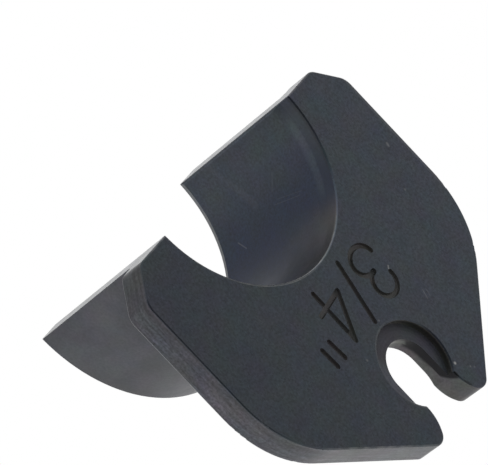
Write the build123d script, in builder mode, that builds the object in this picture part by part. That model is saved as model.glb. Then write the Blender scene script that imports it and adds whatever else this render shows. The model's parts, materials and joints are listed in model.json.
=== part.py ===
from build123d import *
from math import cos, radians, tan
import os

os.makedirs("parts", exist_ok=True)

# One-piece steel jaw: a flat plate with a half-round cradle, and a half tube running back from it.
# The origin is on the cradle's axis, level with the plate's back face.
# X goes across the jaw, Y runs back along the half tube, Z points out of the cradle. Millimetres.

# Plate outline
plate_thickness = 3.6
half_width = 24.35
parting_drop = 0.35
horn_chamfer = 3.6
horn_corner_radius = 1.6
side_corner_radius = 2.2
shoulder_drop = 24.65
shoulder_radius = 13.0
leg_slope_deg = 35.6
edge_round = 0.2

# Cradle and half tube
cradle_radius = 14.85
cradle_lip_radius = 0.35
mouth_radius = 14.95
mouth_length = 1.6
mouth_taper = 1.4
tube_radius = 18.35
tube_length = 17.25
root_fillet = 0.6
mouth_edge_chamfer = 0.15
end_chamfer_depth = 0.2
end_chamfer_length = 0.6
outer_edge_chamfer = 0.25

# Keyhole for the stud of the press tool
slot_half_width = 3.5
slot_centre_drop = 30.0
flare_width = 1.97
flare_deg = 35.5
flare_radius = 4.8
tip_radius = 1.6
pocket_radius = 5.25
pocket_depth = 1.0
pocket_centre_drop = 29.8
pocket_edge_chamfer = 0.15
recess_half_width = 4.0
recess_depth = 1.65
recess_top_drop = 30.3
recess_length = 1.7

# Levels measured down from the cradle's axis
front = -plate_thickness
top = -parting_drop
side_level = top - horn_chamfer
shoulder_level = top - shoulder_drop
slot_level = top - slot_centre_drop
pocket_level = top - pocket_centre_drop
recess_level = top - recess_top_drop

# The leg runs down to the tip's corner, and the flare climbs from there to the slot's side
tip_x = slot_half_width + flare_width
tip_level = shoulder_level - tan(radians(leg_slope_deg)) * (half_width - tip_x)
flare_level = tip_level + flare_width / tan(radians(flare_deg))

right_side = [
    (half_width - horn_chamfer, top),
    (half_width, side_level),
    (half_width, shoulder_level),
    (tip_x, tip_level),
    (slot_half_width, flare_level),
    (slot_half_width, slot_level),
]
left_side = [(-x, z) for x, z in reversed(right_side)]

front_plane = Plane.XZ.offset(-front)


def corners(sketch, x, z):
    """Both corners of a sketch that stand this far from the middle, at this level."""
    return [v for v in sketch.vertices() if abs(abs(v.X) - x) < 0.01 and abs(v.Y - z) < 0.01]


with BuildPart() as jaw_body:
    # Plate with the keyhole's slot and its flared mouth
    with BuildSketch(front_plane) as outline:
        with BuildLine():
            Polyline(*right_side)
            ThreePointArc(right_side[-1], (0, slot_level + slot_half_width), left_side[0])
            Polyline(*left_side)
            Line(left_side[-1], right_side[0])
        make_face()
        fillet(corners(outline, half_width - horn_chamfer, top), radius=horn_corner_radius)
        fillet(corners(outline, half_width, side_level), radius=side_corner_radius)
        fillet(corners(outline, half_width, shoulder_level), radius=shoulder_radius)
        fillet(corners(outline, slot_half_width, flare_level), radius=flare_radius)
        fillet(corners(outline, tip_x, tip_level), radius=tip_radius)
    extrude(amount=-plate_thickness)
    fillet(jaw_body.faces().sort_by(Axis.Y)[0].edges(), radius=edge_round)
    fillet(jaw_body.faces().sort_by(Axis.Y)[-1].edges(), radius=edge_round)

    # Tube behind the plate, with a small fillet at its root
    root_inset = root_fillet * (1 - cos(radians(45)))
    with BuildSketch(Plane.XY) as tube_profile:
        with BuildLine():
            Polyline(
                (tube_radius + root_fillet, 0),
                (tube_radius + root_fillet, front / 2),
                (cradle_radius - 1.0, front / 2),
                (cradle_radius - 1.0, tube_length),
                (tube_radius - outer_edge_chamfer, tube_length),
                (tube_radius, tube_length - outer_edge_chamfer),
                (tube_radius, root_fillet),
            )
            ThreePointArc(
                (tube_radius, root_fillet),
                (tube_radius + root_inset, root_inset),
                (tube_radius + root_fillet, 0),
            )
        make_face()
    revolve(axis=Axis.Y, revolution_arc=360)

    # The cradle, and all of the tube above the horns, are cut away in one pass
    with BuildSketch(Plane.XZ) as clearance:
        Circle(cradle_radius)
        with Locations((0, top + tube_radius)):
            Rectangle(4 * half_width, 2 * tube_radius)
        lip_x = (cradle_radius**2 - top**2) ** 0.5
        fillet(corners(clearance, lip_x, top), radius=cradle_lip_radius)
    extrude(amount=2 * tube_length, both=True, mode=Mode.SUBTRACT)

    # Slightly wider mouth at the front face, and the edge breaks at both ends of the cradle
    with BuildSketch(Plane.XY) as mouth_profile:
        with BuildLine():
            Polyline(
                (0, front - 1.0),
                (mouth_radius + mouth_edge_chamfer + 1.0, front - 1.0),
                (mouth_radius, front + mouth_edge_chamfer),
                (mouth_radius, front + mouth_length),
                (cradle_radius, front + mouth_length + mouth_taper),
                (0, front + mouth_length + mouth_taper),
                close=True,
            )
        make_face()
        with BuildLine():
            Polyline(
                (0, tube_length - end_chamfer_length),
                (cradle_radius, tube_length - end_chamfer_length),
                (cradle_radius + end_chamfer_depth, tube_length),
                (cradle_radius + end_chamfer_depth, tube_length + 1.0),
                (0, tube_length + 1.0),
                close=True,
            )
        make_face()
    revolve(axis=Axis.Y, revolution_arc=360, mode=Mode.SUBTRACT)

    # Round pocket for the stud's head in the front face, with a broken edge
    with BuildSketch(Plane.XY) as pocket_profile:
        with BuildLine():
            Polyline(
                (0, front - 1.0),
                (pocket_radius + pocket_edge_chamfer + 1.0, front - 1.0),
                (pocket_radius, front + pocket_edge_chamfer),
                (pocket_radius, front + pocket_depth),
                (0, front + pocket_depth),
                close=True,
            )
        make_face()
    with BuildPart(mode=Mode.PRIVATE) as pocket:
        add(pocket_profile.sketch)
        revolve(axis=Axis.Y, revolution_arc=360)
    add(Pos(0, 0, pocket_level) * pocket.part, mode=Mode.SUBTRACT)

    # Longer recess for the stud's shoulder in the back face
    with BuildSketch(Plane.XZ) as recess:
        with Locations((0, recess_level - recess_length / 2)):
            SlotCenterToCenter(recess_length, 2 * recess_half_width, rotation=90)
    extrude(amount=recess_depth, mode=Mode.SUBTRACT)

jaw_body.part.label = "jaw_body"
export_step(jaw_body.part, "parts/jaw_body.step")
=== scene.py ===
import json
import math

import bmesh
import bpy
import numpy as np
from mathutils import Matrix, Vector
from mathutils.kdtree import KDTree

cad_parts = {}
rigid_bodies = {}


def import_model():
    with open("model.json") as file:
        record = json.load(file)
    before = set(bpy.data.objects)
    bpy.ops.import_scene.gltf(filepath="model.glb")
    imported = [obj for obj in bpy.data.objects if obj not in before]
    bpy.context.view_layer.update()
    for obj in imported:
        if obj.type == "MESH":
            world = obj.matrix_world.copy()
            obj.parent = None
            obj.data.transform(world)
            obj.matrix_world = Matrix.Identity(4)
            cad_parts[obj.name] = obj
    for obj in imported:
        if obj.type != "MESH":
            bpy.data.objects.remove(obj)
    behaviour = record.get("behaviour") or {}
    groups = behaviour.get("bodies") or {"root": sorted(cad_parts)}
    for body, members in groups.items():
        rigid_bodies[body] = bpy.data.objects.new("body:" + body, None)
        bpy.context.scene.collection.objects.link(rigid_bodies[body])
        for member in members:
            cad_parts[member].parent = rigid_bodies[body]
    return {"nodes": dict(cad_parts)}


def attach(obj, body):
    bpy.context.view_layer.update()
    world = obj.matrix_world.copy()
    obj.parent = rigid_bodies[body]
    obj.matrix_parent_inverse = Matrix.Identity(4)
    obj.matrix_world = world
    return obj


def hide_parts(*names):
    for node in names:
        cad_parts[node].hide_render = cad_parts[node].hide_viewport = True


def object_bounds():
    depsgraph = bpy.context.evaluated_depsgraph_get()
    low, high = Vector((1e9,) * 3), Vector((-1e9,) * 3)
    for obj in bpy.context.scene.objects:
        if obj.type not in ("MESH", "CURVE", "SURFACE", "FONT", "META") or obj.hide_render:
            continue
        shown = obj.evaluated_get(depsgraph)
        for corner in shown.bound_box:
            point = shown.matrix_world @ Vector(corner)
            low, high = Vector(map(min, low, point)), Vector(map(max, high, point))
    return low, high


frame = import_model()
cad_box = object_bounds()

# Lengths are in millimetres in the part's own frame, unless a comment says metres.
# The origin is on the cradle's axis. X goes across the jaw, Y runs back, Z points out of the cradle.
MM = 0.001

# Less than this counts as nothing
TINY = 1e-6

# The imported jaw's own extent, rounded to a micrometre
HALF_WIDTH, TUBE_END, FLATS = (round(end / MM, 3) for end in cad_box[1])
FRONT = round(cad_box[0][1] / MM, 3)

# Plate outline, with the same sizes as part.py
HORN_CHAMFER = 3.6
HORN_RADIUS = 1.6
SIDE_RADIUS = 2.2
SHOULDER_DROP = 24.65
SHOULDER_RADIUS = 13.0
LEG_SLOPE = math.radians(35.6)
SLOT_HALF_WIDTH = 3.5
SLOT_LEVEL = FLATS - 30.0
FLARE_WIDTH = 1.97
FLARE_SLOPE = math.radians(35.5)
FLARE_RADIUS = 4.8
TIP_RADIUS = 1.6
EDGE_ROUND = 0.2

# Cradle and half tube, with the same sizes as part.py
CRADLE_RADIUS = 14.85
LIP_RADIUS = 0.35
MOUTH_RADIUS = 14.95
MOUTH_LENGTH = 1.6
MOUTH_TAPER = 1.4
MOUTH_CHAMFER = 0.15
MOUTH_RIM = MOUTH_RADIUS + MOUTH_CHAMFER
TUBE_RADIUS = 18.35
ROOT_FILLET = 0.6
END_CHAMFER_DEPTH = 0.2
END_CHAMFER_LENGTH = 0.6
OUTER_CHAMFER = 0.25

# Head pocket and shoulder recess, with the same sizes as part.py
POCKET_RADIUS = 5.25
POCKET_DEPTH = 1.0
POCKET_LEVEL = FLATS - 29.8
POCKET_CHAMFER = 0.15
POCKET_RIM = POCKET_RADIUS + POCKET_CHAMFER
RECESS_HALF_WIDTH = 4.0
RECESS_DEPTH = 1.65
RECESS_TOP = FLATS - 30.3
RECESS_LENGTH = 1.7


def remove(obj):
    data = obj.data
    bpy.data.objects.remove(obj, do_unlink=True)
    if data.users == 0:
        bpy.data.meshes.remove(data)


def new_object(name, data):
    obj = bpy.data.objects.new(name, data)
    bpy.context.scene.collection.objects.link(obj)
    return obj


def on_front(across, down, behind=0.0):
    """A point on or behind the front face, from its place across the jaw and down from the flats."""
    return (across, FRONT + behind, FLATS - down)


def on_bore(back, degrees):
    """A point on the cradle's wall, from its distance behind the front face and angle from the right horn."""
    angle = math.radians(degrees)
    return (CRADLE_RADIUS * math.cos(angle), FRONT + back, -CRADLE_RADIUS * math.sin(angle))


# Engraved nominal size

GROOVE_RADIUS = 0.34
GROOVE_DEPTH = 0.42
GROOVE_SINK = 0.02
GROOVE_SIDES = 20
GROOVE_END_STEPS = 6

# How far the groove's section is pushed from round towards square, and how fast its ends get shallow
WALL_POWER = 0.45
BOTTOM_POWER = 0.7
END_POWER = 0.3

# Metres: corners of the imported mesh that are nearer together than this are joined
WELD = 1e-7

THREE_WAIST = (5.35, 19.86)
FOUR_FOOT = (-4.6, 23.05)
FOUR_TIP = (-1.25, 18.1)


def arc(across, down, half_width, half_height, start, end, count=30):
    """Points on an ellipse in plan, with angles in degrees from +X towards the legs."""
    points = []
    for i in range(count + 1):
        angle = math.radians(start + (end - start) * i / count)
        points.append((across + half_width * math.cos(angle), down + half_height * math.sin(angle)))
    return points


# Each stroke is a run of points, as places across the jaw and down from the flats
STROKES = {
    "three_foot": arc(5.22, 18.22, 2.08, 1.72, -4, -262) + [THREE_WAIST],
    "three_head": [THREE_WAIST] + arc(5.42, 21.52, 1.86, 1.72, 262, -6),
    "slash": [(1.85, 16.2), (-0.27, 23.4)],
    "four_stem": [(-4.5, 16.3), FOUR_FOOT],
    "four_diagonal": [FOUR_TIP, FOUR_FOOT],
    "four_bar": [FOUR_TIP, (-6.0, 18.5)],
    "inch_a": [(-7.9, 20.95), (-7.75, 23.3)],
    "inch_b": [(-9.65, 20.95), (-9.55, 23.3)],
}


def squarer(value, power):
    """A sine or cosine pushed out towards one or minus one."""
    return math.copysign(abs(value) ** power, value)


def groove_sections(plan):
    """A groove's two end points, and between them its sections as (centre, direction, radius)."""
    centres = [Vector(on_front(across, down, GROOVE_SINK)) for across, down in plan]
    directions = []
    for i in range(len(centres)):
        before = centres[max(i - 1, 0)]
        after = centres[min(i + 1, len(centres) - 1)]
        directions.append((after - before).normalized())
    sections = [(centre, along, GROOVE_RADIUS) for centre, along in zip(centres, directions)]
    for step in range(GROOVE_END_STEPS - 1, 0, -1):
        angle = math.radians(90.0 * step / GROOVE_END_STEPS)
        radius = GROOVE_RADIUS * math.sin(angle)
        near_start = centres[0] - directions[0] * GROOVE_RADIUS * math.cos(angle)
        near_end = centres[-1] + directions[-1] * GROOVE_RADIUS * math.cos(angle)
        sections.insert(0, (near_start, directions[0], radius))
        sections.append((near_end, directions[-1], radius))
    start = centres[0] - directions[0] * GROOVE_RADIUS
    end = centres[-1] + directions[-1] * GROOVE_RADIUS
    return start, sections, end


def groove_mesh(name, plan):
    """A closed round-ended bar along a plan on the front face, with straight walls and a round bottom."""
    start, sections, end = groove_sections(plan)
    back = Vector((0, 1, 0))
    bm = bmesh.new()
    first = bm.verts.new(start * MM)
    layers = []
    for centre, along, radius in sections:
        side = along.cross(back).normalized()
        shallower = (radius / GROOVE_RADIUS) ** END_POWER
        layer = []
        for k in range(GROOVE_SIDES):
            angle = 2 * math.pi * (k + 0.5) / GROOVE_SIDES
            wide = squarer(math.cos(angle), WALL_POWER) * radius
            deep = squarer(math.sin(angle), BOTTOM_POWER) * GROOVE_DEPTH * shallower
            layer.append(bm.verts.new((centre + side * wide + back * deep) * MM))
        layers.append(layer)
    last = bm.verts.new(end * MM)
    for k in range(GROOVE_SIDES):
        n = (k + 1) % GROOVE_SIDES
        bm.faces.new((first, layers[0][n], layers[0][k]))
        for lower, upper in zip(layers, layers[1:]):
            bm.faces.new((lower[k], lower[n], upper[n], upper[k]))
        bm.faces.new((last, layers[-1][k], layers[-1][n]))
    bmesh.ops.recalc_face_normals(bm, faces=bm.faces)
    mesh = bpy.data.meshes.new(name)
    bm.to_mesh(mesh)
    bm.free()
    return mesh


def welded_copy(node_name):
    """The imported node's mesh without materials, its faces joined along their shared edges."""
    mesh = frame["nodes"][node_name].data.copy()
    mesh.materials.clear()
    bm = bmesh.new()
    bm.from_mesh(mesh)
    bmesh.ops.remove_doubles(bm, verts=bm.verts, dist=WELD)
    bm.to_mesh(mesh)
    bm.free()
    return mesh


def engraved_copy(node_name):
    """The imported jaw's mesh, with the size engraved in its front face."""
    work = new_object("work_jaw", welded_copy(node_name))
    cutters = bpy.data.collections.new("groove_cutters")
    bpy.context.scene.collection.children.link(cutters)
    for name, plan in STROKES.items():
        cutters.objects.link(bpy.data.objects.new("cut_" + name, groove_mesh("cut_" + name, plan)))
    cut = work.modifiers.new("engrave", "BOOLEAN")
    cut.operation = "DIFFERENCE"
    cut.solver = "EXACT"
    cut.use_self = True
    cut.operand_type = "COLLECTION"
    cut.collection = cutters
    deps = bpy.context.evaluated_depsgraph_get()
    engraved = work.evaluated_get(deps)
    mesh = bpy.data.meshes.new_from_object(engraved, depsgraph=deps, preserve_all_data_layers=True)
    mesh.name = "jaw_engraved"
    for cutter in list(cutters.objects):
        remove(cutter)
    bpy.data.collections.remove(cutters)
    remove(work)
    return mesh


# True surface normals

OUTLINE_STEP = 0.04
CLOSED_END_STEPS = 300

# How near a surface a corner has to lie, and the least cosine between its face's normal and the surface's
FIT_GAP = 0.02
LEAST_AGREEMENT = 0.55

# How much more a corner's vote for a surface counts when the two normals are the same
AGREEMENT_BONUS = 0.1

# The least cosine between two faces of a groove that are shaded as one
GROOVE_AGREEMENT = 0.7


def unit(vector):
    """The same direction with a length of one."""
    return vector / np.linalg.norm(vector)


def ray(angle):
    """The direction at an angle in (x, z)."""
    return np.array((math.cos(angle), math.sin(angle)))


class Corner:
    """One corner of an outline in (x, z), with the ways out of it and the arc that rounds it."""

    def __init__(self, before, here, after):
        self.at = np.array(here[:2])
        self.back = unit(np.array(before[:2]) - self.at)
        self.ahead = unit(np.array(after[:2]) - self.at)
        self.half_angle = math.acos(float(np.clip(self.back @ self.ahead, -1.0, 1.0))) / 2
        self.radius = here[2]
        self.cut = self.radius / math.tan(self.half_angle)

    def arc(self):
        """Samples of (point, outward normal) along the arc, or none where the corner is sharp."""
        if not self.radius:
            return []
        centre = self.at + unit(self.back + self.ahead) * self.radius / math.sin(self.half_angle)
        start = self.at + self.back * self.cut - centre
        end = self.at + self.ahead * self.cut - centre
        turn = math.copysign(math.pi - 2 * self.half_angle, start[0] * end[1] - start[1] * end[0])
        begin = math.atan2(start[1], start[0])
        outward = math.copysign(1.0, self.back[0] * start[1] - self.back[1] * start[0])
        count = max(4, int(self.radius * abs(turn) / OUTLINE_STEP) + 1)
        ways = [ray(begin + turn * k / count) for k in range(count + 1)]
        return [(centre + way * self.radius, way * outward) for way in ways]


def straight(start, end):
    """Samples of (point, outward normal) along a straight run."""
    along = unit(end - start)
    normal = np.array((along[1], -along[0]))
    count = max(1, int(np.linalg.norm(end - start) / OUTLINE_STEP))
    return [(start + (end - start) * k / count, normal) for k in range(count + 1)]


def filleted_outline(points):
    """Samples along the arcs and straight runs round a loop of (x, z, corner radius)."""
    count = len(points)
    corners = [Corner(points[i - 1], points[i], points[(i + 1) % count]) for i in range(count)]
    samples = []
    for i, corner in enumerate(corners):
        after = corners[(i + 1) % count]
        samples += corner.arc()
        samples += straight(corner.at + corner.ahead * corner.cut, after.at + after.back * after.cut)
    return samples


def plate_outline():
    """Samples round the plate's edge, anticlockwise seen with x to the right and z up."""
    shoulder = FLATS - SHOULDER_DROP
    tip_x = SLOT_HALF_WIDTH + FLARE_WIDTH
    tip = shoulder - math.tan(LEG_SLOPE) * (HALF_WIDTH - tip_x)
    flare = tip + FLARE_WIDTH / math.tan(FLARE_SLOPE)
    right = [
        (SLOT_HALF_WIDTH, flare, FLARE_RADIUS),
        (tip_x, tip, TIP_RADIUS),
        (HALF_WIDTH, shoulder, SHOULDER_RADIUS),
        (HALF_WIDTH, FLATS - HORN_CHAMFER, SIDE_RADIUS),
        (HALF_WIDTH - HORN_CHAMFER, FLATS, HORN_RADIUS),
    ]
    left = [(-x, z, radius) for x, z, radius in reversed(right)]
    slot_end = [(-SLOT_HALF_WIDTH, SLOT_LEVEL, 0.0), (SLOT_HALF_WIDTH, SLOT_LEVEL, 0.0)]
    samples = []
    for point, normal in filleted_outline(right + left + slot_end):
        across_slot = abs(point[1] - SLOT_LEVEL) < TINY and abs(point[0]) < SLOT_HALF_WIDTH - TINY
        if not across_slot:
            samples.append((point, normal))
    for k in range(CLOSED_END_STEPS + 1):
        way = ray(math.pi * k / CLOSED_END_STEPS)
        samples.append((np.array((0, SLOT_LEVEL)) + way * SLOT_HALF_WIDTH, -way))
    return samples


class Surfaces:
    """How far some places are from each surface of the jaw, as rows of (zone, distance, normal)."""

    def __init__(self, places):
        self.places = places
        self.rows = []

    def flat(self, zone, normal, level):
        """A plane that faces this way, at this level along its normal."""
        normal = np.array(normal, float)
        self.rows.append((zone, self.places @ normal - level, np.broadcast_to(normal, self.places.shape)))

    def turned(self, zone, radius, start, end_radius, end, side, level=0.0):
        """A cylinder or cone round an axis that runs back at a level. Side is 1 outside it and -1 inside."""
        x, y, z = self.places.T
        z = z - level
        reach = np.maximum(np.hypot(x, z), TINY)
        slope = (end_radius - radius) / (end - start)
        size = math.hypot(1.0, slope)
        gap = (reach - radius - slope * (y - start)) / size
        beyond = np.maximum(0, np.maximum(start - y, y - end))
        normal = np.stack([x / reach, np.full_like(x, -slope), z / reach], 1) * side / size
        self.rows.append((zone, np.hypot(gap, beyond), normal))

    def tube_root(self):
        """The fillet where the tube meets the plate."""
        x, y, z = self.places.T
        reach = np.maximum(np.hypot(x, z), TINY)
        out = reach - TUBE_RADIUS - ROOT_FILLET
        behind = y - ROOT_FILLET
        size = np.maximum(np.hypot(out, behind), TINY)
        normal = -np.stack([x / reach * out, behind, z / reach * out], 1) / size[:, None]
        self.rows.append(("root", size - ROOT_FILLET, normal))

    def lip(self, side):
        """The rounded corner between the cradle and one of the flats."""
        level = FLATS - LIP_RADIUS
        centre = side * math.sqrt((CRADLE_RADIUS + LIP_RADIUS) ** 2 - level ** 2)
        x, y, z = self.places.T
        x = x - centre
        z = z - level
        size = np.maximum(np.hypot(x, z), TINY)
        self.rows.append(("lip", size - LIP_RADIUS, np.stack([x / size, np.zeros_like(x), z / size], 1)))

    def plate_edges(self):
        """The plate's side wall, and the rounds along its front and back edges."""
        outline = plate_outline()
        points = np.array([point for point, normal in outline])
        normals = np.array([normal for point, normal in outline])
        tree = KDTree(len(points))
        for i, (x, z) in enumerate(points):
            tree.insert((x, z, 0), i)
        tree.balance()
        nearest = [tree.find((x, z, 0))[1] for x, y, z in self.places]
        out = normals[nearest]
        gap = ((self.places[:, [0, 2]] - points[nearest]) * out).sum(1)
        y = self.places[:, 1]
        self.rows.append(("side", gap, np.stack([out[:, 0], np.zeros_like(y), out[:, 1]], 1)))
        for zone, centre in (("front_round", FRONT + EDGE_ROUND), ("back_round", -EDGE_ROUND)):
            beyond = gap + EDGE_ROUND
            behind = y - centre
            size = np.maximum(np.hypot(beyond, behind), TINY)
            normal = np.stack([out[:, 0] * beyond, behind, out[:, 1] * beyond], 1) / size[:, None]
            self.rows.append((zone, size - EDGE_ROUND, normal))


def jaw_surfaces(places):
    """All the jaw's surfaces, seen from some places."""
    surfaces = Surfaces(places)
    mouth_start = FRONT + MOUTH_CHAMFER
    mouth_end = FRONT + MOUTH_LENGTH
    bore_start = mouth_end + MOUTH_TAPER
    bore_end = TUBE_END - END_CHAMFER_LENGTH
    end_radius = CRADLE_RADIUS + END_CHAMFER_DEPTH
    tube_stop = TUBE_END - OUTER_CHAMFER
    pocket_start = FRONT + POCKET_CHAMFER
    pocket_end = FRONT + POCKET_DEPTH
    surfaces.flat("front", (0, -1, 0), -FRONT)
    surfaces.flat("back", (0, 1, 0), 0.0)
    surfaces.flat("tube_end", (0, 1, 0), TUBE_END)
    surfaces.flat("flats", (0, 0, 1), FLATS)
    surfaces.flat("pocket_floor", (0, -1, 0), -pocket_end)
    surfaces.flat("recess_floor", (0, 1, 0), -RECESS_DEPTH)
    surfaces.flat("recess", (-1, 0, 0), -RECESS_HALF_WIDTH)
    surfaces.flat("recess", (1, 0, 0), -RECESS_HALF_WIDTH)
    surfaces.turned("mouth", MOUTH_RADIUS, mouth_start, MOUTH_RADIUS, mouth_end, -1)
    surfaces.turned("mouth_taper", MOUTH_RADIUS, mouth_end, CRADLE_RADIUS, bore_start, -1)
    surfaces.turned("bore", CRADLE_RADIUS, bore_start, CRADLE_RADIUS, bore_end, -1)
    surfaces.turned("mouth_edge", MOUTH_RIM, FRONT, MOUTH_RADIUS, mouth_start, -1)
    surfaces.turned("bore_end", CRADLE_RADIUS, bore_end, end_radius, TUBE_END, -1)
    surfaces.turned("tube", TUBE_RADIUS, ROOT_FILLET, TUBE_RADIUS, tube_stop, 1)
    surfaces.turned("tube_edge", TUBE_RADIUS, tube_stop, TUBE_RADIUS - OUTER_CHAMFER, TUBE_END, 1)
    surfaces.tube_root()
    for side in (1, -1):
        surfaces.lip(side)
    surfaces.turned("pocket", POCKET_RADIUS, pocket_start, POCKET_RADIUS, pocket_end, -1, POCKET_LEVEL)
    surfaces.turned("pocket_edge", POCKET_RIM, FRONT, POCKET_RADIUS, pocket_start, -1, POCKET_LEVEL)
    for level in (RECESS_TOP, RECESS_TOP - RECESS_LENGTH):
        surfaces.turned("recess", RECESS_HALF_WIDTH, -RECESS_DEPTH, RECESS_HALF_WIDTH, 0.0, -1, level)
    surfaces.plate_edges()
    return surfaces.rows


def column(items, name, kind=float):
    """One attribute of a mesh's items, as an array."""
    values = np.empty(len(items), dtype=kind)
    items.foreach_get(name, values)
    return values


def triples(items, name):
    """One vector attribute of a mesh's items, as rows of three."""
    values = np.empty(len(items) * 3)
    items.foreach_get(name, values)
    return values.reshape(-1, 3)


class Faces:
    """A mesh's faces and their corners, as arrays."""

    def __init__(self, mesh):
        self.normal = triples(mesh.polygons, "normal")
        self.area = column(mesh.polygons, "area")
        self.first = column(mesh.polygons, "loop_start", np.int32)
        self.size = column(mesh.polygons, "loop_total", np.int32)
        self.corner_vert = column(mesh.loops, "vertex_index", np.int32)
        self.corner_face = np.repeat(np.arange(len(self.first)), self.size)

    def corners(self, face):
        """The numbers of a face's corners."""
        return range(self.first[face], self.first[face] + self.size[face])


def soften_grooves(faces, groove_faces, normals):
    """Gives each corner in the grooves the mean normal of the groove faces round it that face its way."""
    around = {}
    for face in groove_faces:
        for corner in faces.corners(face):
            around.setdefault(faces.corner_vert[corner], []).append(face)
    for face in groove_faces:
        for corner in faces.corners(face):
            mean = np.zeros(3)
            for other in around[faces.corner_vert[corner]]:
                if faces.normal[other] @ faces.normal[face] > GROOVE_AGREEMENT:
                    mean += faces.normal[other] * faces.area[other]
            size = np.linalg.norm(mean)
            normals[corner] = mean / size if size > 0 else faces.normal[face]


def true_normals(mesh):
    """Gives each corner the normal of the real surface that it lies on, and returns each face's zone."""
    faces = Faces(mesh)
    seen = faces.normal[faces.corner_face]
    normals = seen.copy()
    score = np.full(len(seen), LEAST_AGREEMENT)
    most_votes = np.zeros(len(faces.first))
    zones = np.full(len(faces.first), "groove", dtype=object)
    for zone, gap, normal in jaw_surfaces(triples(mesh.vertices, "co") / MM):
        fits = np.abs(gap[faces.corner_vert]) < FIT_GAP
        here = normal[faces.corner_vert]
        agree = (here * seen).sum(1)
        votes = np.where(fits & (agree > LEAST_AGREEMENT), 1.0 + AGREEMENT_BONUS * agree, 0.0)
        votes = np.add.reduceat(votes, faces.first)
        wins = votes > most_votes
        zones[wins] = zone
        most_votes[wins] = votes[wins]
        better = fits & (agree > score)
        score[better] = agree[better]
        normals[better] = here[better]
    zones[most_votes * 2 < faces.size] = "groove"
    soften_grooves(faces, np.flatnonzero(zones == "groove"), normals)
    mesh.shade_smooth()
    mesh.normals_split_custom_set([tuple(n) for n in normals])
    return zones


# Materials

BARE_STEEL = (0.50, 0.49, 0.47, 1)
BARE_ROUGHNESS = 0.34
FRONT_TONE = (0.0275, 0.0345, 0.0450)
BORE_TONE = (0.040, 0.044, 0.050)
WHITE = (1, 1, 1, 1)

# The share of a scratch's or speck's width that is at full strength
MARK_CORE = 0.35

# How deep the finest dents look, how much the roughness strays, and how clear the turning marks are
DENT_DEPTH = 0.03
ROUGHNESS_SPREAD = 0.12
RING_CONTRAST = 0.12
RING_PITCH = 0.42


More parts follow.
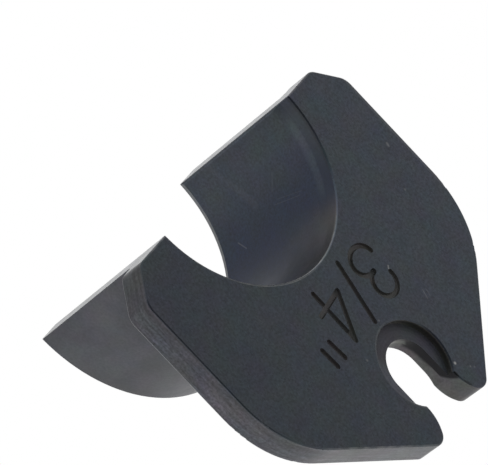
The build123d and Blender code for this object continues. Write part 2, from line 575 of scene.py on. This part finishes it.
class Graph:
    """The nodes of a material or world, written as expressions of sockets and numbers."""

    def __init__(self, owner):
        owner.use_nodes = True
        self.tree = owner.node_tree
        self.tree.nodes.clear()
        self.cache = {}

    def node(self, kind, **settings):
        node = self.tree.nodes.new(kind)
        for key, value in settings.items():
            setattr(node, key, value)
        return node

    def put(self, socket, value):
        """Links another node's output to an input, or sets the input to a plain value."""
        if isinstance(value, bpy.types.NodeSocket):
            self.tree.links.new(value, socket)
        else:
            socket.default_value = value

    def math(self, operation, *values, clamp=False):
        node = self.node("ShaderNodeMath", operation=operation, use_clamp=clamp)
        for socket, value in zip(node.inputs, values):
            self.put(socket, value)
        return node.outputs[0]

    def vector(self, operation, *values):
        node = self.node("ShaderNodeVectorMath", operation=operation)
        sockets = [node.inputs[0], node.inputs[3 if operation == "SCALE" else 1]]
        for socket, value in zip(sockets, values):
            self.put(socket, value)
        return node.outputs["Value" if operation in ("LENGTH", "DOT_PRODUCT") else "Vector"]

    def times(self, first, *others):
        """The product of all the values."""
        for other in others:
            first = self.math("MULTIPLY", first, other)
        return first

    def most(self, first, *others):
        """The largest of the values."""
        for other in others:
            first = self.math("MAXIMUM", first, other)
        return first

    def ramp(self, value, low, high, start=0.0, end=1.0):
        """A smooth change from start to end, as the value goes from low to high. Low may be above high."""
        node = self.node("ShaderNodeMapRange", interpolation_type="SMOOTHSTEP")
        settings = {"Value": value, "From Min": low, "From Max": high, "To Min": start, "To Max": end}
        for key, entry in settings.items():
            self.put(node.inputs[key], entry)
        return node.outputs["Result"]

    def band(self, value, start, full, fade, end):
        """One from full to fade, and nought before start and after end."""
        return self.times(self.ramp(value, start, full), self.ramp(value, end, fade))

    def blend(self, factor, a, b):
        """A number between a and b."""
        return self.math("MULTIPLY_ADD", factor, self.math("SUBTRACT", b, a), a)

    def tint(self, factor, a, b):
        """A colour between a and b."""
        node = self.node("ShaderNodeMix", data_type="RGBA")
        self.put(node.inputs["Factor"], factor)
        self.put(node.inputs["A"], a)
        self.put(node.inputs["B"], b)
        return next(output for output in node.outputs if output.type == "RGBA")

    def mix(self, factor, a, b):
        """A shader between a and b."""
        node = self.node("ShaderNodeMixShader")
        for socket, value in zip(node.inputs, (factor, a, b)):
            self.put(socket, value)
        return node.outputs[0]

    def glow(self, kind, strength):
        """A plain white light: an emission in a material, or a background in a world."""
        node = self.node(kind)
        self.put(node.inputs["Color"], WHITE)
        self.put(node.inputs["Strength"], strength)
        return node.outputs[0]

    def place(self):
        """The point on the jaw, in the part's own frame."""
        if "place" not in self.cache:
            coords = self.node("ShaderNodeTexCoord").outputs["Object"]
            self.cache["place"] = self.vector("SCALE", coords, 1.0 / MM)
        return self.cache["place"]

    def axis(self, name):
        """The point's X, Y or Z."""
        if "axes" not in self.cache:
            split = self.node("ShaderNodeSeparateXYZ")
            self.put(split.inputs[0], self.place())
            self.cache["axes"] = split.outputs
        return self.cache["axes"][name]

    def behind(self):
        """Distance behind the front face."""
        return self.math("SUBTRACT", self.axis("Y"), FRONT)

    def reach(self, level=0.0):
        """Distance from an axis that runs back through the jaw's middle at a level."""
        up = self.math("SUBTRACT", self.axis("Z"), level)
        squares = self.math("ADD", self.math("POWER", self.axis("X"), 2.0), self.math("POWER", up, 2.0))
        return self.math("SQRT", squares)

    def bore_angle(self):
        """Angle round the cradle in degrees, from the right horn down and round to the left one."""
        turn = self.math("ARCTAN2", self.math("MULTIPLY", self.axis("Z"), -1.0), self.axis("X"))
        return self.math("MULTIPLY", turn, 180.0 / math.pi)

    def noise(self, per_mm, detail=2.0, stretch=(1, 1, 1), offset=(0, 0, 0), colour=False):
        """Smooth noise fixed to the part, as a number or as a colour."""
        at = self.place()
        if stretch != (1, 1, 1):
            at = self.vector("MULTIPLY", at, stretch)
        if offset != (0, 0, 0):
            at = self.vector("ADD", at, offset)
        node = self.node("ShaderNodeTexNoise")
        self.put(node.inputs["Vector"], at)
        self.put(node.inputs["Scale"], per_mm)
        self.put(node.inputs["Detail"], detail)
        return node.outputs["Color" if colour else "Fac"]

    def around_one(self, value, amount):
        """A factor that strays from one as the value strays from a half."""
        return self.math("MULTIPLY_ADD", self.math("SUBTRACT", value, 0.5), amount, 1.0)

    def scratch(self, start, end, width, strength):
        """A line between two points."""
        start = Vector(start)
        along = Vector(end) - start
        rest = self.vector("SUBTRACT", self.place(), tuple(start))
        part = self.vector("DOT_PRODUCT", rest, tuple(along / along.length_squared))
        part = self.math("ADD", part, 0.0, clamp=True)
        rest = self.vector("SUBTRACT", rest, self.vector("SCALE", tuple(along), part))
        return self.ramp(self.vector("LENGTH", rest), width * MARK_CORE, width, strength, 0.0)

    def speck(self, at, width, strength):
        """A dot at a point."""
        rest = self.vector("SUBTRACT", self.place(), at)
        return self.ramp(self.vector("LENGTH", rest), width * MARK_CORE, width, strength, 0.0)


def oxide(name, base, roughness, metallic=0.6, mottle=0.5, grain=0.5, streaks=None, shade=None, wear_and_highlights=None,
          bump=0.12, rings=None, specular=0.5):
    """Blackened steel: mottled and fine-grained. Its shade function multiplies the colour by a real tone for
    some finishes, and by painted light and shade for others. Bare metal goes where its wear function asks,
    for real wear and for some painted highlights.
    """
    material = bpy.data.materials.new(name)
    g = Graph(material)
    patches = g.vector("SUBTRACT", g.noise(0.32, detail=3.0, colour=True), (0.5, 0.5, 0.5))
    patches = g.vector("ADD", g.vector("SCALE", patches, mottle), (1, 1, 1))
    fine = g.noise(3.4, detail=4.0)
    level = g.around_one(fine, grain)
    height = fine
    if streaks:
        lines = g.noise(1.0, detail=3.0, stretch=streaks, offset=(7.3, 2.1, 4.4))
        level = g.times(level, g.around_one(lines, grain))
        height = g.math("ADD", height, lines)
    if rings:
        turned = rings(g)
        level = g.times(level, g.around_one(turned, RING_CONTRAST))
        height = g.math("ADD", height, turned)
    colour = g.vector("SCALE", g.vector("MULTIPLY", patches, base), level)
    if shade:
        colour = g.vector("MULTIPLY", colour, shade(g))
    uneven = g.math("SUBTRACT", g.noise(0.9, detail=2.0, offset=(3.1, 8.2, 5.5)), 0.5)
    rough = g.math("MULTIPLY_ADD", uneven, ROUGHNESS_SPREAD, roughness)
    metal = metallic
    if wear_and_highlights:
        bare = wear_and_highlights(g)
        colour = g.tint(bare, colour, BARE_STEEL)
        rough = g.blend(bare, rough, BARE_ROUGHNESS)
        metal = g.blend(bare, metallic, 1.0)
    dent = g.node("ShaderNodeBump")
    g.put(dent.inputs["Strength"], bump)
    g.put(dent.inputs["Distance"], DENT_DEPTH * MM)
    g.put(dent.inputs["Height"], height)
    shader = g.node("ShaderNodeBsdfPrincipled")
    g.put(shader.inputs["Base Color"], colour)
    g.put(shader.inputs["Metallic"], metal)
    g.put(shader.inputs["Specular IOR Level"], specular)
    g.put(shader.inputs["Roughness"], rough)
    g.put(shader.inputs["Normal"], dent.outputs["Normal"])
    g.put(g.node("ShaderNodeOutputMaterial").inputs["Surface"], shader.outputs["BSDF"])
    return material


def front_shade(g):
    """The front face is a little darker towards the left horn."""
    return g.ramp(g.axis("X"), -30.0, 30.0, 0.86, 1.14)


def front_nicks(g):
    """The bright specks and short scratches that show on the front face."""
    return g.most(
        g.scratch(on_front(21.8, 11.9), on_front(21.7, 12.2), 0.22, 0.14),
        g.scratch(on_front(9.1, 25.4), on_front(8.7, 26.4), 0.10, 0.10),
        g.scratch(on_front(9.6, 25.6), on_front(9.3, 26.5), 0.10, 0.06),
        g.scratch(on_front(7.64, 20.71), on_front(7.34, 21.0), 0.15, 0.24),
        g.speck(on_front(18.6, 16.8), 0.22, 0.10),
        g.speck(on_front(-5.5, 25.4), 0.22, 0.12),
        g.speck(on_front(4.61, 33.3), 0.26, 0.45),
        g.speck(on_front(6.1, 34.9), 0.18, 0.12),
        g.speck(on_front(6.55, 35.3), 0.18, 0.08),
        g.speck(on_front(0.3, 23.7), 0.20, 0.10),
    )


def front_wear_and_highlights(g):
    """Nicks and faint rubbing, with light lines of bare metal round the pocket, down the right edge and along
    the cradle that are partly wear and partly painted highlights.
    """
    rubbed = g.ramp(g.noise(1.1, detail=4.0, offset=(11.0, 0.0, 5.0)), 0.66, 0.80, 0.0, 0.035)
    # Painted highlights laid on as bare metal: the left of the pocket's rim, the right edge and the lower
    # cradle's rim
    from_rim = g.math("SUBTRACT", g.reach(POCKET_LEVEL), POCKET_RIM)
    pocket = g.times(g.band(from_rim, -0.06, 0.02, 0.10, 0.22), g.ramp(g.axis("X"), 2.5, -1.0, 0.0, 0.06))
    right = g.ramp(g.axis("X"), HALF_WIDTH - 0.65, HALF_WIDTH - 0.40, 0.0, 0.055)
    from_rim = g.math("SUBTRACT", g.reach(), MOUTH_RIM)
    cradle = g.times(g.band(from_rim, -0.02, 0.02, 0.04, 0.16), crest_patches(g))
    cradle = g.times(cradle, g.ramp(g.bore_angle(), 84.0, 104.0, 0.0, 0.20))
    front_only = g.ramp(g.behind(), 0.3, 0.1)
    return g.most(front_nicks(g), rubbed, g.times(g.most(pocket, right, cradle), front_only))


def bore_tone_and_painted_shade(g):
    """Painted shade: lighter and greener near the right horn and painted darker and bluer lower down, with a
    browner patch where the mouth is rubbed.
    """
    angle = g.bore_angle()
    # Painted shade round the cradle: darker and bluer as the angle grows
    angle_painted_shade = g.tint(g.ramp(angle, 12.0, 48.0), (0.48, 0.58, 0.70, 1), (0.15, 0.28, 0.62, 1))
    uneven = g.times(g.noise(0.35, detail=3.0, offset=(6.0, 4.0, 2.0)), 5.0)
    rubbed = g.times(g.ramp(g.math("ADD", g.behind(), uneven), 13.0, 3.0), g.ramp(angle, 46.0, 62.0))
    return g.tint(rubbed, angle_painted_shade, (0.90, 0.82, 0.84, 1))


def bore_wear(g):
    """The clearest scratches in the bore, and a faint haze of fine ones."""
    hair = g.noise(1.0, detail=5.0, stretch=(0.5, 2.6, 0.5), offset=(2.0, 9.0, 1.0))
    return g.most(
        g.scratch(on_bore(17.4, 38.7), on_bore(16.3, 43.6), 0.10, 0.08),
        g.scratch(on_bore(8.4, 23.0), on_bore(9.6, 29.6), 0.09, 0.03),
        g.scratch(on_bore(9.9, 35.3), on_bore(5.7, 39.2), 0.08, 0.025),
        g.scratch(on_bore(9.2, 33.9), on_bore(5.2, 38.0), 0.08, 0.02),
        g.scratch(on_bore(15.9, 2.0), on_bore(14.7, 15.0), 0.55, 0.010),
        g.scratch(on_bore(14.7, 15.0), on_bore(12.8, 29.4), 0.70, 0.014),
        g.ramp(hair, 0.62, 0.82, 0.0, 0.02),
    )


def crest_patches(g):
    """Uneven strength along the cradle's front edge, for its line of wear and painted highlight."""
    return g.ramp(g.noise(0.9, detail=3.0, offset=(5.0, 1.0, 2.0)), 0.30, 0.72, 0.45, 1.0)


def crest_wear_and_highlight(g):
    """Bare metal along the lower part of the cradle's front edge, partly wear and partly a painted highlight
    where the edge faces the light.
    """
    angle = g.bore_angle()
    line = g.band(g.behind(), 0.02, 0.12, 0.22, 0.46)
    lower_part = g.band(angle, 46.0, 84.0, 130.0, 172.0)
    return g.times(line, lower_part, crest_patches(g), g.ramp(angle, 84.0, 104.0, 0.34, 0.85))


def crest_painted_light(g):
    """Painted light: the mouth's edge is painted lighter away from the right horn, which leaves its dark line
    darkest near the right horn.
    """
    return g.ramp(g.bore_angle(), 12.0, 34.0, 1.0, 2.0)


def mouth_painted_shade(g):
    """The bore's tones, with a painted shade as a dark line just inside the front edge near the right horn.
    """
    dark = g.times(g.ramp(g.behind(), 0.62, 0.30), g.ramp(g.bore_angle(), 48.0, 32.0))
    return g.vector("SCALE", bore_tone_and_painted_shade(g), g.math("MULTIPLY_ADD", dark, -0.3, 0.85))


def taper_painted_highlight(g):
    """The bore's tones, with a painted highlight on the taper on the right."""
    light = g.times(g.band(g.bore_angle(), 4.0, 16.0, 40.0, 52.0), g.band(g.behind(), 1.5, 1.9, 2.3, 3.3))
    return g.vector("ADD", bore_tone_and_painted_shade(g), g.vector("SCALE", (0.34, 0.35, 0.29), light))


def edge_wear(g):
    """Handled edges are bare in small patches, but hardly so at the far left or by the right-hand flare."""
    patches = g.ramp(g.noise(0.8, detail=4.0, offset=(1.0, 6.0, 3.0)), 0.36, 0.70, 0.05, 0.17)
    patches = g.times(patches, g.ramp(g.axis("X"), -21.0, -17.0, 0.1, 1.0))
    flare = g.times(g.band(g.axis("X"), 0.0, 1.5, 7.5, 9.0), g.ramp(g.axis("Z"), -25.0, -27.0))
    return g.times(patches, g.math("MULTIPLY_ADD", flare, -0.9, 1.0))


def edge_shade(g):
    """Two small dark marks on the front edge of the right-hand flare."""
    upper = g.scratch(on_front(3.57, 33.5), on_front(3.5, 34.4), 0.35, 0.8)
    lower = g.scratch(on_front(3.9, 35.5), on_front(4.05, 36.3), 0.35, 0.6)
    return g.math("SUBTRACT", 1.0, g.most(upper, lower))


def rubbed_rim(g, strongest):
    """Uneven rubbing along an edge, as bare metal that never quite goes away."""
    return g.ramp(g.noise(0.8, detail=4.0, offset=(4.0, 2.0, 8.0)), 0.30, 0.74, 0.06, strongest)


def bore_rim_wear(g):
    """The bore's edge at the tube's end, which is rubbed less than other edges."""
    return rubbed_rim(g, 0.13)


def handled_wear(g):
    """Sharper edges that are rubbed further."""
    return rubbed_rim(g, 0.20)


def pocket_rim_wear_and_highlight(g):
    """Bare metal on the pocket's rim, on its left side only, partly wear and partly a painted highlight."""
    return g.times(handled_wear(g), g.ramp(g.axis("X"), 1.5, -1.5))


def tube_shade(g):
    """The outside of the tube is a little patchy."""
    return g.ramp(g.noise(0.22, detail=3.0, offset=(9.0, 3.0, 7.0)), 0.35, 0.65, 0.88, 1.12)


def side_painted_light(g):
    """Painted light and shade: the milled edge is painted lighter towards the legs and towards the back."""
    return g.times(g.ramp(g.axis("Z"), -8.0, -24.0, 0.76, 1.02), g.ramp(g.behind(), 0.3, 3.0, 0.84, 1.12))


def slot_stain(g):
    """A dark, unrubbed band on the slot's wall behind the pocket, dished like the stud's head."""
    reach = g.math("SUBTRACT", g.reach(POCKET_LEVEL), SLOT_HALF_WIDTH)
    deepest = g.ramp(g.axis("X"), 2.5, 3.4, 1.25, 2.7)
    limit = g.math("MULTIPLY_ADD", g.math("POWER", reach, 2.0), -0.39, deepest)
    stained = g.ramp(g.math("SUBTRACT", g.behind(), limit), 0.40, -0.20)
    return g.tint(stained, WHITE, (0.05, 0.045, 0.07, 1))


def pocket_rings(g):
    """Turning marks left by the cutter on the pocket's floor."""
    wave = g.math("SINE", g.times(g.reach(POCKET_LEVEL), 2 * math.pi / RING_PITCH))
    return g.math("MULTIPLY_ADD", wave, 0.5, 0.5)


def pocket_floor_painted_shade(g):
    """The pocket's floor has painted shade in the corner on the right, and is lighter on the left."""
    corner = g.times(g.ramp(g.reach(POCKET_LEVEL), 4.0, POCKET_RADIUS), g.ramp(g.axis("X"), 0.5, 3.5))
    open_side = g.ramp(g.axis("X"), -2.0, -4.2, 1.0, 1.75)
    return g.math("MULTIPLY_ADD", corner, -0.30, open_side)


def pocket_wall_painted_shade(g):
    """Painted shade and light: the pocket's wall is painted darkest half way down, and lighter at the top of
    the pocket.
    """
    behind = g.behind()
    level = g.math("ADD", g.ramp(behind, 0.1, 0.45, 1.6, 0.45), g.ramp(behind, 0.55, 0.95, 0.0, 0.4))
    up = g.math("DIVIDE", g.math("SUBTRACT", g.axis("Z"), POCKET_LEVEL), POCKET_RADIUS)
    return g.times(level, g.ramp(up, 0.5, 1.0, 1.0, 3.2))


# Some finishes paint light and shade into their colour: the milled side, bore, crest, mouth, taper, and
# pocket floor and wall. The crest, mouth, ground face and pocket rim also have painted highlights laid on as
# bare metal.
FINISHES = {
    "ground_face": dict(base=FRONT_TONE, roughness=0.28, grain=1.7, shade=front_shade, wear_and_highlights=front_wear_and_highlights),
    "worn_edge": dict(base=FRONT_TONE, roughness=0.26, shade=edge_shade, wear_and_highlights=edge_wear),
    "pocket_rim": dict(base=FRONT_TONE, roughness=0.30, wear_and_highlights=pocket_rim_wear_and_highlight),
    "handled_edge": dict(base=FRONT_TONE, roughness=0.30, wear_and_highlights=handled_wear),
    "bore_rim": dict(base=FRONT_TONE, roughness=0.30, wear_and_highlights=bore_rim_wear),
    "crest": dict(base=FRONT_TONE, roughness=0.26, shade=crest_painted_light, wear_and_highlights=crest_wear_and_highlight),
    "milled_side": dict(base=(0.0455, 0.047, 0.0565), roughness=0.34, grain=2.0, streaks=(0.25, 2.6, 0.25),
                        bump=0.35, shade=side_painted_light),
    "slot_wall": dict(base=(0.061, 0.061, 0.060), roughness=0.42, metallic=0.75, grain=1.0, shade=slot_stain),
    "bore": dict(base=BORE_TONE, roughness=0.35, mottle=0.6, grain=1.6, shade=bore_tone_and_painted_shade, wear_and_highlights=bore_wear),
    "mouth": dict(base=(0.044, 0.048, 0.054), roughness=0.32, grain=1.0, shade=mouth_painted_shade, wear_and_highlights=crest_wear_and_highlight),
    "taper": dict(base=BORE_TONE, roughness=0.32, grain=1.0, shade=taper_painted_highlight),
    "tube_skin": dict(base=(0.047, 0.049, 0.057), roughness=0.40, mottle=0.3, grain=0.7, shade=tube_shade),
    "pocket_floor": dict(base=(0.0405, 0.0415, 0.0505), roughness=0.55, metallic=0.0, specular=0.2, grain=0.8,
                         rings=pocket_rings, shade=pocket_floor_painted_shade),
    "pocket_wall": dict(base=(0.036, 0.036, 0.034), roughness=0.50, metallic=0.2, specular=0.4,
                        shade=pocket_wall_painted_shade),
    "groove": dict(base=(0.045, 0.044, 0.043), roughness=0.50, metallic=0.35, grain=0.6),
}
ZONE_FINISH = {
    "front": "ground_face", "back": "ground_face", "flats": "ground_face", "lip": "ground_face",
    "tube_end": "ground_face", "front_round": "worn_edge", "tube_edge": "worn_edge",
    "back_round": "handled_edge", "bore_end": "bore_rim", "pocket_edge": "pocket_rim", "mouth_edge": "crest",
    "side": "milled_side", "recess_floor": "milled_side", "slot": "slot_wall", "recess": "slot_wall",
    "bore": "bore", "mouth": "mouth", "mouth_taper": "taper", "tube": "tube_skin", "root": "tube_skin",
    "pocket_floor": "pocket_floor", "pocket": "pocket_wall", "groove": "groove",
}

# The part of the side wall that lies in the keyhole
KEYHOLE_REACH = 5.4
KEYHOLE_TOP = -25.0


def dress(piece, zones):
    """Gives each face the finish of the surface that it belongs to."""
    names = list(FINISHES)
    for name in names:
        piece.data.materials.append(oxide(name, **FINISHES[name]))
    for face, zone in zip(piece.data.polygons, zones):
        in_keyhole = abs(face.center.x) < KEYHOLE_REACH * MM and face.center.z < KEYHOLE_TOP * MM
        if zone == "side" and in_keyhole:
            zone = "slot"
        face.material_index = names.index(ZONE_FINISH[zone])


jaw_mesh = engraved_copy("jaw_body")
jaw_zones = true_normals(jaw_mesh)
jaw = new_object("engraved_jaw", jaw_mesh)
jaw.data.materials.clear()
dress(jaw, jaw_zones)
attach(jaw, "root")
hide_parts("jaw_body")


# Studio

# Where the studio looks brighter or darker than plain white. Each patch has its direction from the jaw, the
# angles from there in degrees at which the change begins and is full, and how much brighter it gets.
STUDIO_PATCHES = {
    "front left, where the photographer stands": ((-0.7385, -0.6676, 0.0944), 64, 38, -0.88),
    "back left": ((-0.7385, 0.6676, -0.0944), 58, 14, 0.50),
    "front right": ((0.7385, -0.6676, -0.0944), 60, 15, -0.16),
    "back right": ((0.7385, 0.6676, 0.0944), 14, 4, 0.45),
    "above the back": ((0.46, 0.66, 0.59), 40, 10, -0.28),
    "below the back": ((0.33, 0.67, -0.67), 45, 12, 0.12),
}
DIFFUSE_LEVEL = 0.75
FLOOR_TONE = (0.9, 0.9, 0.9, 1)

# Metres: the floor's radius, how far it lies below the cradle's axis, and where its shadow fades to white
FLOOR_RADIUS = 6.0
FLOOR_SIDES = 96
FLOOR_DROP = 0.100
SHADOW_FADE = (0.14, 0.30)

# The point the lamp aims at, the way to the lamp from there, its distance and size, and its power.
# Metres and watts.
LAMP_AIM = Vector((0.0, 0.004, -0.018))
LAMP_WAY = (-0.30, -0.45, 1.0)
LAMP_DISTANCE = 0.9
LAMP_SIZE = 0.5
LAMP_POWER = 1.2


def studio_light(g, way):
    """How bright the studio looks in a direction, for reflections."""
    total = 1.0
    for direction, start, full, change in STUDIO_PATCHES.values():
        near = g.vector("DOT_PRODUCT", way, direction)
        limits = (math.cos(math.radians(start)), math.cos(math.radians(full)))
        total = g.math("ADD", total, g.ramp(near, *limits, 0.0, change))
    return total


def studio_world():
    """White to the camera, even for soft light, and the studio's own pattern in reflections."""
    world = bpy.data.worlds.new("studio")
    bpy.context.scene.world = world
    g = Graph(world)
    path = g.node("ShaderNodeLightPath").outputs
    way = g.node("ShaderNodeTexCoord").outputs["Generated"]
    soft = g.glow("ShaderNodeBackground", DIFFUSE_LEVEL)
    mirrored = g.glow("ShaderNodeBackground", studio_light(g, way))
    white = g.glow("ShaderNodeBackground", 1.0)
    shiny = g.mix(g.most(path["Is Glossy Ray"], path["Is Transmission Ray"]), soft, mirrored)
    g.put(g.node("ShaderNodeOutputWorld").inputs["Surface"], g.mix(path["Is Camera Ray"], shiny, white))


def floor_paint():
    """Pale, with the jaw's shadow near it and plain white further out. Reflections see the studio instead."""
    material = bpy.data.materials.new("pale_floor")
    g = Graph(material)
    path = g.node("ShaderNodeLightPath").outputs
    paint = g.node("ShaderNodeBsdfDiffuse")
    g.put(paint.inputs["Color"], FLOOR_TONE)
    place = g.node("ShaderNodeNewGeometry").outputs["Position"]
    white = g.glow("ShaderNodeEmission", 1.0)
    mirrored = g.glow("ShaderNodeEmission", studio_light(g, g.vector("NORMALIZE", place)))
    far = g.times(path["Is Camera Ray"], g.ramp(g.vector("LENGTH", place), *SHADOW_FADE))
    seen = g.mix(far, paint.outputs[0], white)
    surface = g.mix(path["Is Glossy Ray"], seen, mirrored)
    g.put(g.node("ShaderNodeOutputMaterial").inputs["Surface"], surface)
    return material


def pale_floor():
    """A wide disc below the jaw, which takes its shadow."""
    bm = bmesh.new()
    bmesh.ops.create_circle(bm, cap_ends=True, radius=FLOOR_RADIUS, segments=FLOOR_SIDES)
    bmesh.ops.translate(bm, verts=bm.verts, vec=(0, 0, -FLOOR_DROP))
    mesh = bpy.data.meshes.new("floor")
    bm.to_mesh(mesh)
    bm.free()
    floor = new_object("floor", mesh)
    floor.data.materials.append(floor_paint())


def key_lamp():
    """A square lamp above the jaw and a little towards the camera, kept out of the jaw's reflections."""
    way = Vector(LAMP_WAY).normalized()
    data = bpy.data.lights.new("key_lamp", "AREA")
    data.shape = "SQUARE"
    data.size = LAMP_SIZE
    data.energy = LAMP_POWER
    lamp = new_object("key_lamp", data)
    lamp.location = LAMP_AIM + way * LAMP_DISTANCE
    lamp.rotation_euler = (-way).to_track_quat("-Z", "Y").to_euler()
    lamp.visible_glossy = False


# The camera as fitted to the photo: where it stands round its target, how far it is rolled, and its lens
CAMERA_TARGET = Vector((-3.066, -1.175, -6.898))
CAMERA_DISTANCE = 484.3
CAMERA_AZIMUTH = math.radians(-47.89)
CAMERA_ELEVATION = math.radians(5.415)
CAMERA_ROLL = math.radians(-43.439)
CAMERA_LENS = 330.95
CAMERA_SENSOR = 36.0

# Metres: the nearest and the furthest that the camera sees
NEAREST_SEEN = 0.01
FURTHEST_SEEN = 30.0


def photo_camera():
    """The camera that took the photo. Azimuth is from the front, and grows towards the right-hand side."""
    data = bpy.data.cameras.new("photo_camera")
    data.sensor_fit = "HORIZONTAL"
    data.sensor_width = CAMERA_SENSOR
    data.lens = CAMERA_LENS
    data.clip_start = NEAREST_SEEN
    data.clip_end = FURTHEST_SEEN
    turn = (Matrix.Rotation(CAMERA_AZIMUTH, 4, "Z") @ Matrix.Rotation(math.pi / 2 - CAMERA_ELEVATION, 4, "X")
            @ Matrix.Rotation(CAMERA_ROLL, 4, "Z"))
    step_back = Matrix.Translation((0, 0, CAMERA_DISTANCE * MM))
    camera = new_object("photo_camera", data)
    camera.matrix_world = Matrix.Translation(CAMERA_TARGET * MM) @ turn @ step_back
    bpy.context.scene.camera = camera


studio_world()
pale_floor()
key_lamp()
photo_camera()
bpy.context.scene.view_settings.view_transform = "Standard"
